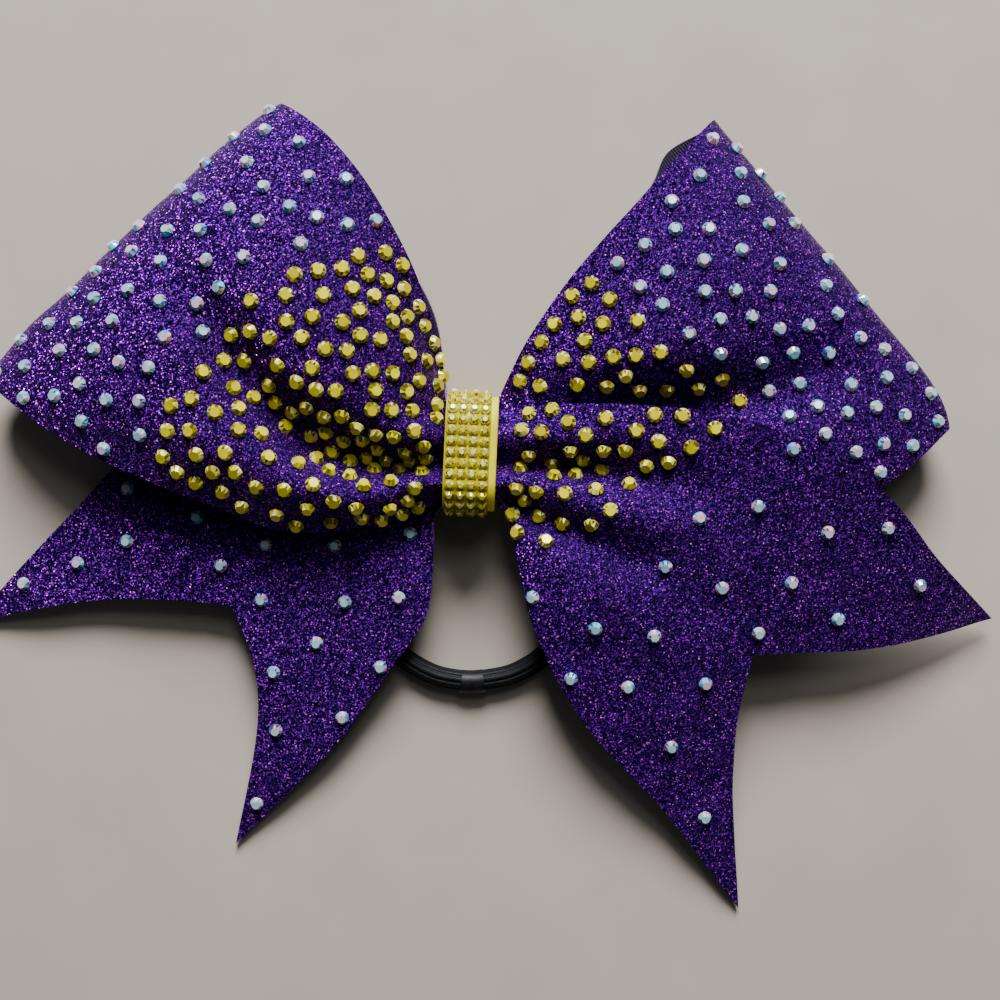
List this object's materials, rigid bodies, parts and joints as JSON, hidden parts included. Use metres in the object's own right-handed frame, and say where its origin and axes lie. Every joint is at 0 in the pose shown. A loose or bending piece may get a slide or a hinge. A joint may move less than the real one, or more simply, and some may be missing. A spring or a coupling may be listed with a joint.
{
  "type": "cheer hair bow",
  "caption": "Large pinched hair bow of glitter ribbon with two loops and two notched tails, set with cut stones, on a hair elastic behind its centre wrap",
  "frame": {"origin": "on the flat back of the centre wrap, under the middle of the knot", "axes": "+Z out of the bow's front, +X to the right-hand loop seen from the front, +Y towards the loops' upper corners"},
  "size_m": [0.2045, 0.1588, 0.0282],
  "materials": {
    "glitter_film": "dark purple glitter film",
    "woven_ribbon": "plain woven ribbon",
    "tie_plastic": "natural nylon",
    "wrap_ribbon": "bright yellow ribbon",
    "glue": "hot-melt glue",
    "banding_mesh": "moulded stone mesh",
    "citrine_stone": "cut resin, foil backed",
    "crystal_stone": "cut resin, aurora coating",
    "elastic_cord": "braided elastic",
    "elastic_joint": "bonded glue sleeve"
  },
  "bodies": {
    "bow": {"left_loop_glitter": "glitter_film", "left_loop_backing": "woven_ribbon", "right_loop_glitter": "glitter_film", "right_loop_backing": "woven_ribbon", "left_tail_glitter": "glitter_film", "left_tail_backing": "woven_ribbon", "right_tail_glitter": "glitter_film", "right_tail_backing": "woven_ribbon", "knot_pleats_front": "woven_ribbon", "knot_pleats_middle": "woven_ribbon", "knot_pleats_rear": "woven_ribbon", "cable_tie": "tie_plastic", "wrap_ribbon": "wrap_ribbon", "wrap_glue": "glue", "banding_mesh": "banding_mesh", "banding_stones": "citrine_stone", "left_loop_citrine": "citrine_stone", "right_loop_citrine": "citrine_stone", "right_tail_citrine": "citrine_stone", "left_loop_crystal": "crystal_stone", "right_loop_crystal": "crystal_stone", "left_tail_crystal": "crystal_stone", "right_tail_crystal": "crystal_stone"},
    "hair_loop": {"hair_elastic": "elastic_cord", "elastic_joint": "elastic_joint"}
  },
  "joints": [
    {"name": "hair_loop_swing", "type": "hinge", "parent": "bow", "child": "hair_loop", "pos_m": [0, 0, 0.00305], "axis": [1, 0, 0], "range_deg": [0, 175]}
  ]
}
